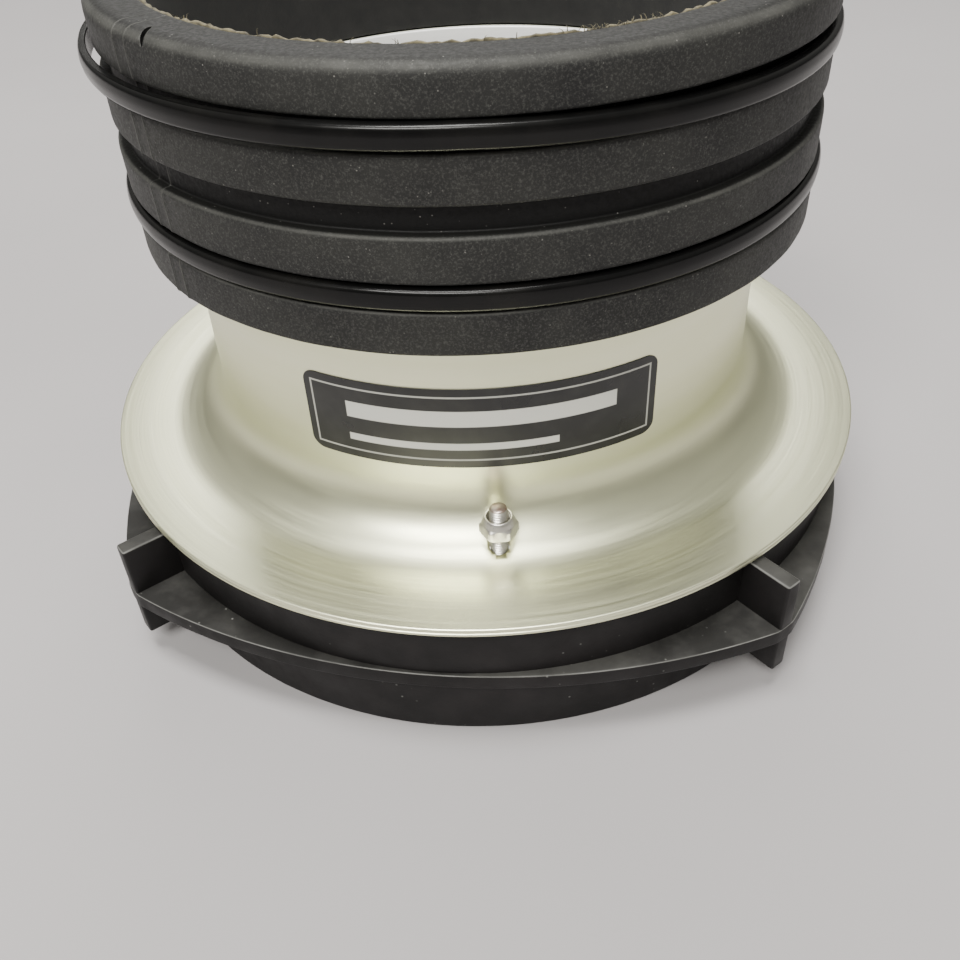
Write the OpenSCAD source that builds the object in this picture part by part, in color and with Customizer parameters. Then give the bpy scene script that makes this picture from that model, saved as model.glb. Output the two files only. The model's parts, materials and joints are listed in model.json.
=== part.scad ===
// Clamp-on adapter plate for a studio flash head: a ribbed rubber collar on a spun
// aluminium neck and flange, with a moulded locking ring that turns under the flange.
// Millimetres, +Z up, the ring stands on z = 0 and the light axis is the Z axis.

/* [Flange plate] */
// Outer diameter of the flange
flange_d = 144; // [138:1:176]
// Height of the flange's underside above the foot of the locking ring
flange_z = 25.7; // [24:0.1:32]
// Thickness of the spun sheet
sheet_t = 1.5; // [1:0.1:2]
// Outer diameter of the neck
neck_d = 101; // [84:0.5:104]
// Height of the neck's rim above the flange's underside
neck_h = 53.8; // [50:0.1:58]
// Radius of the cove between the neck and the flange, on its outer face
cove_r = 11; // [9.5:0.5:13]

/* [Rubber collar] */
// Height of the collar's lower edge above the flange's underside
collar_lift = 40.3; // [38:0.1:42]
// Number of ribs round the collar
rib_count = 4; // [4:1:5]
// Height of one rib
rib_h = 6.7; // [6:0.1:8]
// Height of the groove between two ribs
groove_h = 4; // [3.8:0.1:5]
// Thickness of the collar's wall at a groove
collar_wall = 5.45; // [4.5:0.05:7]
// How far a rib stands out from its groove
rib_depth = 1.7; // [1.2:0.1:2.2]
// Thickness of the liner that grips the flash head
liner_t = 0.6; // [0.6:0.1:0.9]

/* [Clamp bands] */
// Height of a band's section
band_h = 3.4; // [2.8:0.1:3.6]
// Thickness of a band
band_t = 2; // [1.8:0.1:2.4]
// Slack of the unloaded upper band round the groove floor
upper_slack = 1.2; // [1:0.1:1.4]
// Slack of the lower band round the groove floor
lower_slack = 0.5; // [0.1:0.1:0.8]
// How far the slack upper band hangs to the left
upper_shift = 0.8; // [0:0.1:0.8]

/* [Over-centre latch] */
// Distance from the lever's pivot to the bail's pin
throw_r = 6.3; // [6:0.1:7]
// Arc that the lever covers round the collar, in degrees
lever_arc = 38; // [30:1:44]
// Radius of the two latch pins
pin_r = 1; // [0.8:0.1:1.1]
// Thickness of the bail's two flat links
link_t = 1.4; // [1:0.1:1.8]

/* [Locking ring] */
// Turn of the locking ring about its axis, in degrees
ring_turn = -8; // [-45:0.5:45]
// How far the skirt's wall stands inside the flange's edge
skirt_inset = 2.8; // [1.8:0.1:4]
// Wall of the skirt
skirt_wall = 3; // [2.5:0.1:4]
// Height of the ledge's upper face
ledge_z = 15; // [12:0.5:16]
// Thickness of the ledge
ledge_t = 3; // [2:0.1:4]
// Radius of the ledge's four side arcs
ledge_arc_r = 118; // [105:1:180]
// Thickness of a grip fin
fin_t = 3; // [1.6:0.1:4]
// Height of a fin's lower edge above the foot
fin_low = 5; // [3:0.5:8]

/* [Retainer] */
// How far the retainer's screws stand outside the neck
screw_out = 4.75; // [4.4:0.05:5.4]
// Number of retainer screws
screw_count = 3; // [3:1:6]
// Turn of the first screw from the front, in degrees
screw_turn = 1.5; // [-30:0.5:30]
// Thickness of the retainer's plate
retainer_t = 2.5; // [2:0.1:3]

/* [Label] */
// Height of the label
label_h = 14.7; // [10:0.1:14.7]
// Arc that the label covers, in degrees
label_arc = 65.8; // [40:0.1:90]

/* [Hidden] */
$fn = 96;

touch = 0.02;            // gap between fitted faces that don't move
run = 0.06;              // radial running clearance of a turning joint
overlap = 0.2;           // how far two lumps of one solid sink into each other

// M3 fastener
m3_r = 1.5;
m3_hole_r = 1.7;
m3_nut_af = 5.5;
m3_hex_h = 2;
m3_nut_h = 3.2;
m3_head_r = 2.8;
m3_head_h = 2;
m3_washer_r = 3.1;
m3_washer_t = 0.5;

// Neck, cove and flange
neck_r = neck_d / 2;
neck_in_r = neck_r - sheet_t;
flange_top = flange_z + sheet_t;
cove_c_r = neck_r + cove_r;
cove_c_z = flange_top + cove_r;
neck_top = flange_z + neck_h;

// Height of the cove's surface at radius r, for a face at distance a from the cove's centre
function cove_z(r, a) = cove_c_z - sqrt(a * a - (cove_c_r - r) * (cove_c_r - r));

// Collar
collar_z = flange_z + collar_lift;
collar_in_r = neck_r + touch;
groove_r = collar_in_r + collar_wall;
rib_r = groove_r + rib_depth;
rib_pitch = rib_h + groove_h;
collar_h = rib_count * rib_h + (rib_count - 1) * groove_h;
collar_top = collar_z + collar_h;
rib_round = 1.9;
rib_foot_round = 0.5;
liner_edge = 0.2;        // the liner stops this far below the collar's top

// Height of the middle of the groove above rib i, counted from the bottom
function groove_mid(i) = collar_z + i * rib_pitch + rib_h + groove_h / 2;

// Bands
upper_z = groove_mid(rib_count - 2);
lower_z = groove_mid(0);
upper_in_r = groove_r + upper_slack;
upper_out_r = upper_in_r + band_t;
lower_in_r = groove_r + lower_slack;
lower_out_r = lower_in_r + band_t;
upper_gap = 8;           // half the band's gap at the back, in degrees
lower_gap = 7;

// Plates, rivets and lugs on the bands
plate_t = 1;
plate_half_h = 3.4;
rivet_r = 1;
rivet_head_r = 1.6;
rivet_head_h = 0.7;

// Latch: angles are measured from the back of the collar, positive to the left
base_arc = [upper_gap, 22];
base_rivets = [14.5, 19];
hook_x = 11;             // middle of the catch's upright
hook_t = 1.2;
hook_foot = hook_x + hook_t / 2 + rivet_head_r + 0.1;
catch_rivet_a = asin(hook_foot / upper_out_r);
catch_rivets = [-catch_rivet_a - 4.5, -catch_rivet_a];
catch_arc = [-catch_rivet_a - 7, -upper_gap];
pivot_a = 10.5;
ear_t = 1.2;
ear_r = 2.9;
ear_half = plate_half_h; // outer face of an ear, from the latch's middle plane
pivot_rad = upper_out_r + 6.3;
pivot = [-pivot_rad * sin(pivot_a), pivot_rad * cos(pivot_a)];
throw_dir = 188.7;       // direction from the pivot to the bail's pin, lever closed
bail_pt = pivot + throw_r * [cos(throw_dir), sin(throw_dir)];
cheek_in = ear_half + 0.1;
cheek_t = 1;
cheek_out = cheek_in + cheek_t;
cheek_arc = [12, 10.5 + lever_arc];
web_arc = [14, 10.5 + lever_arc];
web_in_r = pivot_rad + 2.7;
web_t = 1;
pin_head_r = pin_r + 0.7;
pin_head_h = 0.5;
bail_z = cheek_out + pin_head_h + 0.2 + link_t / 2;
bar_r = 1.3;             // rounded end of a link, round the cross bar
link_half_w = 1.1;
eye_r = pin_r + 1;
bar_gap = 0.15;
bar = [hook_x + hook_t / 2 + bar_gap + bar_r, bail_pt[1] + 0.6];

// Lower band's screw and lugs
lug_x = 6;
lug_t = 1.5;
lug_half_h = 3.8;
lug_arc = [lower_gap, 17];
lug_rivet_a = 13;
lug_screw_y = lower_out_r + 6;
lug_top_y = lug_screw_y + 3.8;
lug_screw_len = 25;

// Retainer stack, from the flange down
glide_t = 0.6;
glide_gap = 0.1;
ring_top = flange_z - glide_t - glide_gap;
shelf_t = 2.8;
shelf_drop = 2;          // the shelf's upper face below the ring's top
shelf_z = ring_top - shelf_drop - shelf_t;
shelf_gap = 0.2;
retainer_top = shelf_z - shelf_gap;
retainer_z = retainer_top - retainer_t;
hub_top = shelf_z + shelf_t + 0.2;
screw_r = neck_r + screw_out;
spacer_r = 3;
hub_r = screw_r + spacer_r + 0.7;
retainer_in_r = screw_r - spacer_r - 0.2;
retainer_r = hub_r + 4;
shelf_in_r = hub_r + run;
spacer_top = cove_z(screw_r + spacer_r, cove_r + sheet_t) - touch;
screw_seat = retainer_z - m3_washer_t;
nut_z = cove_z(screw_r - m3_nut_af / 2, cove_r) + touch;
screw_tip = nut_z + m3_nut_h + 1.7;

// Locking ring
skirt_r = flange_d / 2 - skirt_inset;
skirt_in_r = skirt_r - skirt_wall;
wall_r = skirt_r + 0.8;
wall_in_r = wall_r - skirt_wall;
ledge_near = wall_r + 0.6;
ledge_offset = ledge_arc_r - ledge_near;
ledge_corner = sqrt(ledge_arc_r * ledge_arc_r - ledge_offset * ledge_offset / 2)
    - ledge_offset / sqrt(2);
fin_r = ledge_corner - 0.6;
fin_top = ring_top - 0.3;
foot_chamfer = 0.4;
gusset_count = 12;
gusset_t = 1.6;

// Label
label_t = 0.15;
label_z = cove_c_z + 3;
label_turn = -0.5;
label_corner = 2;

// ---- shared shapes -----------------------------------------------------------------

// Ring of rectangular section
module tube(r_out, r_in, z0, z1) {
    difference() {
        translate([0, 0, z0]) cylinder(r = r_out, h = z1 - z0);
        translate([0, 0, z0 - 1]) cylinder(r = r_in, h = z1 - z0 + 2);
    }
}

// Part of a ring's section between two angles from the back, positive to the left
module back_sector(r_in, r_out, arc) {
    rotate([0, 0, 90 + arc[0]]) rotate_extrude(angle = arc[1] - arc[0])
        translate([r_in, 0]) children();
}

// Flat arc-shaped outline in the plane of the latch
module back_arc_2d(r_in, r_out, arc) {
    far = r_out * 2;
    intersection() {
        difference() {
            circle(r = r_out);
            circle(r = r_in);
        }
        polygon([
            [0, 0],
            far * [-sin(arc[0]), cos(arc[0])],
            far * [-sin(arc[1]), cos(arc[1])]
        ]);
    }
}

// Curved plate on the outside of a band
module band_plate(r_in, arc, half_h) {
    back_sector(r_in, r_in + plate_t, arc)
        translate([0, -half_h]) square([plate_t, 2 * half_h]);
}

// Radial hole or shank at angle a from the back
module radial(a, r0, r1, r) {
    rotate([0, 0, a]) translate([0, r0, 0]) rotate([-90, 0, 0]) cylinder(r = r, h = r1 - r0);
}

// Rivet through a band and its plate, with a low domed head outside
module rivet(a, band_in_r, band_out_r) {
    seat = band_out_r + plate_t;
    dome = (rivet_head_r * rivet_head_r + rivet_head_h * rivet_head_h) / (2 * rivet_head_h);
    radial(a, band_in_r + 0.1, seat + overlap, rivet_r);
    rotate([0, 0, a]) translate([0, seat, 0]) rotate([-90, 0, 0]) intersection() {
        translate([0, 0, rivet_head_h - dome]) sphere(r = dome);
        cylinder(r = rivet_head_r, h = rivet_head_h);
    }
}

// Half-round section of a band, flat side towards the collar
module band_section() {
    round_r = band_h / 2;
    translate([0, -round_r]) square([band_t - round_r, band_h]);
    intersection() {
        translate([band_t - round_r, 0]) circle(r = round_r);
        translate([0, -round_r]) square([band_t, band_h]);
    }
}

// Open hoop with a gap at the back
module band(in_r, gap) {
    rotate([0, 0, 90 + gap]) rotate_extrude(angle = 360 - 2 * gap)
        translate([in_r, 0]) band_section();
}

// Puts the latch's own frame at the upper band's height, on the shifted band
module at_latch() {
    translate([-upper_shift, 0, upper_z]) children();
}

// Both cheeks, ears or legs: the same outline above and below the latch's middle plane
module mirrored_slab(z0, z1) {
    for (side = [0, 1]) mirror([0, 0, side])
        translate([0, 0, z0]) linear_extrude(height = z1 - z0) children();
}

// Pin along Z with a flat head at each end
module headed_pin(at, half_len) {
    translate([at[0], at[1], -half_len]) cylinder(r = pin_r, h = 2 * half_len);
    for (side = [0, 1]) mirror([0, 0, side])
        translate([at[0], at[1], half_len]) cylinder(r = pin_head_r, h = pin_head_h);
}

// One copy for each retainer screw, child placed on the screw circle
module each_screw() {
    for (i = [0 : screw_count - 1])
        rotate([0, 0, screw_turn + i * 360 / screw_count]) translate([0, -screw_r, 0])
            children();
}

// Hexagonal lock nut with a round collar on top
module lock_nut() {
    collar_r = 2.2;
    bore_r = m3_r + touch;
    difference() {
        union() {
            cylinder(r = m3_nut_af / sqrt(3), h = m3_hex_h, $fn = 6);
            cylinder(r = collar_r, h = m3_nut_h);
        }
        translate([0, 0, -1]) cylinder(r = bore_r, h = m3_nut_h + 2);
    }
}

// ---- flange plate ------------------------------------------------------------------

module flange_section() {
    translate([neck_in_r, cove_c_z]) square([sheet_t, neck_top - cove_c_z]);
    intersection() {
        translate([cove_c_r, cove_c_z]) difference() {
            circle(r = cove_r + sheet_t);
            circle(r = cove_r);
        }
        translate([neck_in_r, flange_z]) square([cove_r + sheet_t, cove_r + sheet_t]);
    }
    translate([cove_c_r, flange_z]) square([flange_d / 2 - cove_c_r, sheet_t]);
}

module flange_plate() {
    color("lightgray") difference() {
        rotate_extrude() flange_section();
        each_screw() translate([0, 0, flange_z]) cylinder(r = m3_hole_r, h = cove_r + sheet_t);
    }
}

module neck_label() {
    half_w = neck_r * sin(label_arc / 2);
    inner_w = half_w - label_corner;
    color("black") rotate([0, 0, label_turn]) intersection() {
        tube(neck_r + label_t, neck_r, label_z, label_z + label_h);
        translate([0, 0, label_z]) rotate([90, 0, 0]) linear_extrude(height = neck_r + 5)
            union() {
                translate([-half_w, label_corner])
                    square([2 * half_w, label_h - 2 * label_corner]);
                translate([-inner_w, 0]) square([2 * inner_w, label_h]);
                for (x = [-inner_w, inner_w], z = [label_corner, label_h - label_corner])
                    translate([x, z]) circle(r = label_corner);
            }
    }
}

// ---- rubber collar -----------------------------------------------------------------

// One rib, rounded above and nearly sharp below
module rib_section() {
    depth = rib_depth + collar_wall / 2;
    x0 = rib_r - depth;
    translate([x0, rib_foot_round]) square([depth, rib_h - rib_foot_round - rib_round]);
    translate([x0, 0]) square([depth - rib_foot_round, rib_h / 2]);
    translate([x0, rib_h / 2]) square([depth - rib_round, rib_h / 2]);
    translate([rib_r - rib_foot_round, rib_foot_round]) circle(r = rib_foot_round);
    translate([rib_r - rib_round, rib_h - rib_round]) circle(r = rib_round);
}

module rubber_collar() {
    color("dimgray") rotate_extrude() {
        translate([collar_in_r, collar_z]) square([collar_wall, collar_h - rib_round]);
        translate([collar_in_r, collar_z])
            square([rib_r - rib_round - collar_in_r, collar_h]);
        for (i = [0 : rib_count - 1]) translate([0, collar_z + i * rib_pitch]) rib_section();
    }
}

module collar_liner() {
    color("#1c1a18") tube(collar_in_r, collar_in_r - liner_t, neck_top + 0.3, collar_top - liner_edge);
}

// ---- upper band and latch ----------------------------------------------------------

module upper_clamp_band() {
    color("black") at_latch() difference() {
        band(upper_in_r, upper_gap);
        for (a = concat(base_rivets, catch_rivets))
            radial(a, upper_in_r - 1, upper_out_r + 1, rivet_r + touch);
    }
}

module latch_base() {
    color("silver") at_latch() difference() {
        union() {
            band_plate(upper_out_r + touch, base_arc, plate_half_h);
            mirrored_slab(ear_half - ear_t, ear_half) {
                back_arc_2d(upper_out_r + touch, pivot_rad, [upper_gap, 14]);
                translate(pivot) circle(r = ear_r);
            }
        }
        translate([pivot[0], pivot[1], -ear_half - 1])
            cylinder(r = pin_r + touch, h = 2 * ear_half + 2);
        for (a = base_rivets) radial(a, upper_out_r - 1, upper_out_r + 3, rivet_r + touch);
    }
}

module latch_catch() {
    foot_y = upper_out_r + touch + plate_t / 2;
    color("silver") at_latch() difference() {
        union() {
            band_plate(upper_out_r + touch, catch_arc, plate_half_h);
            intersection() {
                translate([hook_x - hook_t / 2, foot_y - 1.5, -plate_half_h])
                    cube([hook_t, bar[1] + 1.4 - foot_y + 1.5, 2 * plate_half_h]);
                tube(pivot_rad + 9, upper_out_r + touch, -plate_half_h, plate_half_h);
            }
        }
        for (a = catch_rivets) radial(a, upper_out_r - 1, upper_out_r + 3, rivet_r + touch);
    }
}

module latch_rivets() {
    color("silver") at_latch()
        for (a = concat(base_rivets, catch_rivets)) rivet(a, upper_in_r, upper_out_r + touch);
}

module lever_pivot_pin() {
    color("gray") at_latch() headed_pin(pivot, cheek_out + touch);
}

module latch_lever() {
    grip_r = 1.4;
    tip_a = web_arc[1];
    tip_rad = web_in_r + web_t / 2;
    color("silver") at_latch() difference() {
        union() {
            mirrored_slab(cheek_in, cheek_out) {
                translate(pivot) circle(r = ear_r - 0.2);
                back_arc_2d(pivot_rad - 1.7, web_in_r + web_t, [pivot_a, 21]);
                back_arc_2d(web_in_r - 1.2, web_in_r + web_t, cheek_arc);
                translate(bail_pt) circle(r = 2.2);
            }
            linear_extrude(height = 2 * cheek_out, center = true)
                back_arc_2d(web_in_r, web_in_r + web_t, web_arc);
            translate([-tip_rad * sin(tip_a), tip_rad * cos(tip_a), -cheek_out])
                cylinder(r = grip_r, h = 2 * cheek_out);
        }
        translate([pivot[0], pivot[1], -cheek_out - 1])
            cylinder(r = pin_r + run, h = 2 * cheek_out + 2);
        translate([bail_pt[0], bail_pt[1], -cheek_out - 1])
            cylinder(r = pin_r + touch, h = 2 * cheek_out + 2);
    }
}

module bail_pin() {
    color("gray") at_latch() headed_pin(bail_pt, bail_z + link_t / 2 + 0.1);
}

module latch_bail() {
    reach = bar - bail_pt;
    lean = atan2(reach[1], reach[0]);
    color("silver") at_latch() difference() {
        union() {
            mirrored_slab(bail_z - link_t / 2, bail_z + link_t / 2) {
                translate(bail_pt) circle(r = eye_r);
                translate(bail_pt) rotate(lean) translate([0, -link_half_w])
                    square([norm(reach), 2 * link_half_w]);
                translate(bar) circle(r = bar_r);
            }
            translate([bar[0], bar[1], -bail_z])
                cylinder(r = bar_r - overlap, h = 2 * bail_z);
        }
        translate([bail_pt[0], bail_pt[1], -bail_z - 2])
            cylinder(r = pin_r + run, h = 2 * bail_z + 4);
    }
}

// ---- lower band and its screw ------------------------------------------------------

module lower_clamp_band() {
    color("black") translate([0, 0, lower_z]) difference() {
        band(lower_in_r, lower_gap);
        for (a = [-lug_rivet_a, lug_rivet_a])
            radial(a, lower_in_r - 1, lower_out_r + 1, rivet_r + touch);
    }
}

// Riveted foot with an upright ear for the cross screw, on the left of the gap
module lug() {
    seat = lower_out_r + touch;
    difference() {
        union() {
            band_plate(seat, lug_arc, plate_half_h);
            intersection() {
                translate([-lug_x - lug_t, seat - 2, -lug_half_h])
                    cube([lug_t, lug_top_y - seat + 2, 2 * lug_half_h]);
                tube(lug_top_y + 5, seat, -lug_half_h, lug_half_h);
            }
        }
        translate([-lug_x - lug_t - 1, lug_screw_y, 0]) rotate([0, 90, 0])
            cylinder(r = m3_hole_r, h = lug_t + 2);
        radial(lug_rivet_a, seat - 1, seat + 3, rivet_r + touch);
    }
}

module lower_lug_left() {
    color("silver") translate([0, 0, lower_z]) lug();
}

module lower_lug_right() {
    color("silver") translate([0, 0, lower_z]) mirror([1, 0, 0]) lug();
}

module lower_lug_rivets() {
    color("silver") translate([0, 0, lower_z])
        for (a = [-lug_rivet_a, lug_rivet_a]) rivet(a, lower_in_r, lower_out_r + touch);
}

module lower_clamp_screw() {
    socket_r = 1.4;
    socket_deep = 1.2;
    seat_x = lug_x + lug_t + touch;
    color("gray") translate([seat_x, lug_screw_y, lower_z]) difference() {
        union() {
            rotate([0, -90, 0]) cylinder(r = m3_r, h = lug_screw_len);
            rotate([0, 90, 0]) cylinder(r = m3_head_r, h = m3_head_h + 1);
        }
        translate([m3_head_h + 1 - socket_deep, 0, 0]) rotate([0, 90, 0])
            cylinder(r = socket_r, h = socket_deep + 1, $fn = 6);
    }
}

module lower_clamp_nut() {
    color("gray") translate([-lug_x - lug_t - touch, lug_screw_y, lower_z])
        rotate([0, -90, 0]) lock_nut();
}

// ---- locking ring and its retainer --------------------------------------------------

module glide_ring() {
    color("black") tube(wall_r - 0.6, wall_in_r, flange_z - glide_t, flange_z - touch / 2);
}

// Outline of the ledge: four shallow arcs that meet at the fins, tips cut round
module ledge_2d() {
    intersection() {
        intersection_for(i = [0 : 3]) rotate(i * 90) translate([0, ledge_offset])
            circle(r = ledge_arc_r);
        circle(r = fin_r + 0.1);
    }
}

// Skirt, wall and shelf in one section; the step between them is inside the ledge
module ring_section() {
    step_z = ledge_z - ledge_t / 2;
    polygon([
        [skirt_in_r + foot_chamfer, 0],
        [skirt_r - foot_chamfer, 0],
        [skirt_r, foot_chamfer],
        [skirt_r, step_z],
        [wall_r, step_z],
        [wall_r, ring_top],
        [wall_in_r, ring_top],
        [wall_in_r, shelf_z + shelf_t],
        [shelf_in_r, shelf_z + shelf_t],
        [shelf_in_r, shelf_z],
        [wall_in_r, shelf_z],
        [wall_in_r, ledge_z],
        [skirt_in_r, ledge_z],
        [skirt_in_r, foot_chamfer]
    ]);
}

module locking_ring() {
    root_r = skirt_r - 1;
    gusset_r = retainer_r + 1;
    gusset_z = ledge_z + 1;
    color("#222222") rotate([0, 0, ring_turn]) union() {
        rotate_extrude() ring_section();
        difference() {
            translate([0, 0, ledge_z - ledge_t]) linear_extrude(height = ledge_t) ledge_2d();
            translate([0, 0, ledge_z - ledge_t - 1]) cylinder(r = root_r, h = ledge_t + 2);
        }
        for (i = [0 : 3]) rotate([0, 0, 45 + 90 * i])
            translate([root_r, -fin_t / 2, fin_low])
                cube([fin_r - root_r, fin_t, fin_top - fin_low]);
        for (i = [0 : gusset_count - 1]) rotate([0, 0, i * 360 / gusset_count])
            translate([gusset_r, -gusset_t / 2, gusset_z])
                cube([wall_in_r + overlap - gusset_r, gusset_t, shelf_z + overlap - gusset_z]);
    }
}

module retainer_ring() {
    color("gray") difference() {
        union() {
            tube(retainer_r, retainer_in_r, retainer_z, retainer_top);
            tube(hub_r, retainer_in_r, retainer_top - overlap, hub_top);
        }
        each_screw() translate([0, 0, retainer_z - 1])
            cylinder(r = m3_hole_r, h = hub_top - retainer_z + 2);
    }
}

module retainer_spacers() {
    color("silver") each_screw() translate([0, 0, hub_top + touch])
        tube(spacer_r, m3_hole_r, 0, spacer_top - hub_top - touch);
}

module retainer_washers() {
    color("silver") each_screw()
        tube(m3_washer_r, m3_hole_r - 0.1, screw_seat, retainer_z - touch);
}

module retainer_screws() {
    slot_w = 0.8;
    slot_deep = 0.8;
    color("silver") each_screw() difference() {
        union() {
            translate([0, 0, screw_seat - touch]) cylinder(r = m3_r, h = screw_tip - screw_seat);
            translate([0, 0, screw_seat - touch - m3_head_h])
                cylinder(r = m3_head_r, h = m3_head_h);
        }
        for (turn = [0, 90]) rotate([0, 0, turn])
            translate([-1.6, -slot_w / 2, screw_seat - touch - m3_head_h - 1])
                cube([3.2, slot_w, slot_deep + 1]);
    }
}

module retainer_nuts() {
    color("silver") each_screw() translate([0, 0, nut_z]) lock_nut();
}

flange_plate();
neck_label();
rubber_collar();
collar_liner();
upper_clamp_band();
latch_base();
latch_catch();
latch_rivets();
lever_pivot_pin();
latch_lever();
bail_pin();
latch_bail();
lower_clamp_band();
lower_lug_left();
lower_lug_right();
lower_lug_rivets();
lower_clamp_screw();
lower_clamp_nut();
glide_ring();
locking_ring();
retainer_ring();
retainer_spacers();
retainer_washers();
retainer_screws();
retainer_nuts();
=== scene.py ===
import json
import math
import random

import bmesh
import bpy
from mathutils import Matrix, Vector, noise


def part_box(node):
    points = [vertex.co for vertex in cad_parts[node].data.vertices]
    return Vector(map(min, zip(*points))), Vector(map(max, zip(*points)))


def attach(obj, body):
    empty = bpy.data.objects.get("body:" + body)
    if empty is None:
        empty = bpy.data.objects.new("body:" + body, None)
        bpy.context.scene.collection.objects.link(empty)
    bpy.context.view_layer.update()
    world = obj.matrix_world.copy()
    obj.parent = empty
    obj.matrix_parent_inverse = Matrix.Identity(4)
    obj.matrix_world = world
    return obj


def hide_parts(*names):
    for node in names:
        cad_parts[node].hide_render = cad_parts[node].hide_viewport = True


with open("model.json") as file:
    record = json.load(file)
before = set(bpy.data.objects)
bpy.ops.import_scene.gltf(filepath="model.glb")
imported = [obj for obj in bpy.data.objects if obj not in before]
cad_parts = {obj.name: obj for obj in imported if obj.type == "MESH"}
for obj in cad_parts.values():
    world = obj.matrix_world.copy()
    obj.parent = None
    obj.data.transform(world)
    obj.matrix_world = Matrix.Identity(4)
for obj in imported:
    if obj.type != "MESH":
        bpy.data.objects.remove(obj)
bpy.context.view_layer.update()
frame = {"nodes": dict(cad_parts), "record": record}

MM = 0.001
ROOT, RING = "adapter_body", "locking_ring"
rng = random.Random(7)


# Marks on the rubber: mould seams in degrees from the front, and a slit in the lip
SEAMS = (-49.2, -52.6, 130.8, 127.4)
SLIT_TURN, SLIT_AT_R = -45.3, 56.5          # degrees, mm
SLIT_LEAN, SLIT_SIZE = 27, (0.42, 1.7, 2.2)  # degrees from radial, half sizes in mm

# Heights where a material changes, in mm
SCREW_END_LO, SCREW_END_HI = 36.65, 37.05
FRAY_FROM = 104.2


# ---- node materials ---------------------------------------------------------------

class Nodes:
    """Short names for the shader nodes used here."""

    def __init__(self, name, colour, rough, metal=0.0, **shader):
        self.mat = bpy.data.materials.new(name)
        self.mat.use_nodes = True
        self.mat.diffuse_color = (*colour, 1)
        self.tree = self.mat.node_tree
        self.out = self.tree.nodes["Principled BSDF"]
        self.out.inputs["Base Color"].default_value = (*colour, 1)
        self.out.inputs["Roughness"].default_value = rough
        self.out.inputs["Metallic"].default_value = metal
        for key, value in shader.items():
            self.out.inputs[key.replace("_", " ")].default_value = value
        self.place = self.add("ShaderNodeTexCoord").outputs["Object"]

    def add(self, kind, **settings):
        node = self.tree.nodes.new(kind)
        for key, value in settings.items():
            setattr(node, key, value)
        return node

    def put(self, value, socket):
        if isinstance(value, bpy.types.NodeSocket):
            self.tree.links.new(value, socket)
        else:
            socket.default_value = value

    def math(self, op, a, b=0.0, clamp=False):
        node = self.add("ShaderNodeMath", operation=op, use_clamp=clamp)
        self.put(a, node.inputs[0])
        self.put(b, node.inputs[1])
        return node.outputs[0]

    def axes(self, source=None):
        node = self.add("ShaderNodeSeparateXYZ")
        self.put(source or self.place, node.inputs[0])
        return node.outputs[0], node.outputs[1], node.outputs[2]

    def vector(self, x, y, z):
        node = self.add("ShaderNodeCombineXYZ")
        for value, socket in zip((x, y, z), node.inputs):
            self.put(value, socket)
        return node.outputs[0]

    def polar(self):
        """Radius from the axis in metres, angle in radians from the front, height."""
        x, y, z = self.axes()
        radius = self.math("SQRT", self.math("ADD", self.math("MULTIPLY", x, x),
                                             self.math("MULTIPLY", y, y)))
        angle = self.math("ARCTAN2", x, self.math("MULTIPLY", y, -1.0))
        return radius, angle, z

    def noise(self, scale, detail=3.0, rough=0.55, place=None):
        node = self.add("ShaderNodeTexNoise")
        self.put(place or self.place, node.inputs["Vector"])
        node.inputs["Scale"].default_value = scale
        node.inputs["Detail"].default_value = detail
        node.inputs["Roughness"].default_value = rough
        return node.outputs[0]

    def cells(self, scale, place=None):
        node = self.add("ShaderNodeTexVoronoi")
        self.put(place or self.place, node.inputs["Vector"])
        node.inputs["Scale"].default_value = scale
        return node.outputs["Distance"]

    def ramp(self, fac, *stops):
        node = self.add("ShaderNodeValToRGB")
        self.put(fac, node.inputs[0])
        band = node.color_ramp
        while len(band.elements) < len(stops):
            band.elements.new(0.5)
        for element, (at, value) in zip(band.elements, stops):
            element.position = at
            element.color = (*((value,) * 3 if isinstance(value, float) else value), 1)
        return node.outputs[0]

    def blend(self, fac, a, b):
        node = self.add("ShaderNodeMix", data_type="RGBA")
        for value, socket in ((fac, node.inputs[0]), (a, node.inputs[6]), (b, node.inputs[7])):
            if not isinstance(value, (bpy.types.NodeSocket, float)):
                value = (*value, 1)
            self.put(value, socket)
        return node.outputs[2]

    def upward(self):
        """How far the surface faces up: 1 on level tops, 0 on walls."""
        return self.axes(self.add("ShaderNodeNewGeometry").outputs["Normal"])[2]

    def facing_up(self, low, high):
        return self.ramp(self.upward(), (low, 0.0), (high, 1.0))

    def bump(self, height, distance, strength=1.0):
        node = self.add("ShaderNodeBump")
        self.put(height, node.inputs["Height"])
        node.inputs["Distance"].default_value = distance
        node.inputs["Strength"].default_value = strength
        last = self.out.inputs["Normal"]
        if last.is_linked:
            self.put(last.links[0].from_socket, node.inputs["Normal"])
        self.put(node.outputs[0], last)

    def colour(self, value):
        self.put(value, self.out.inputs["Base Color"])

    def rough(self, value):
        self.put(value, self.out.inputs["Roughness"])


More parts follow.
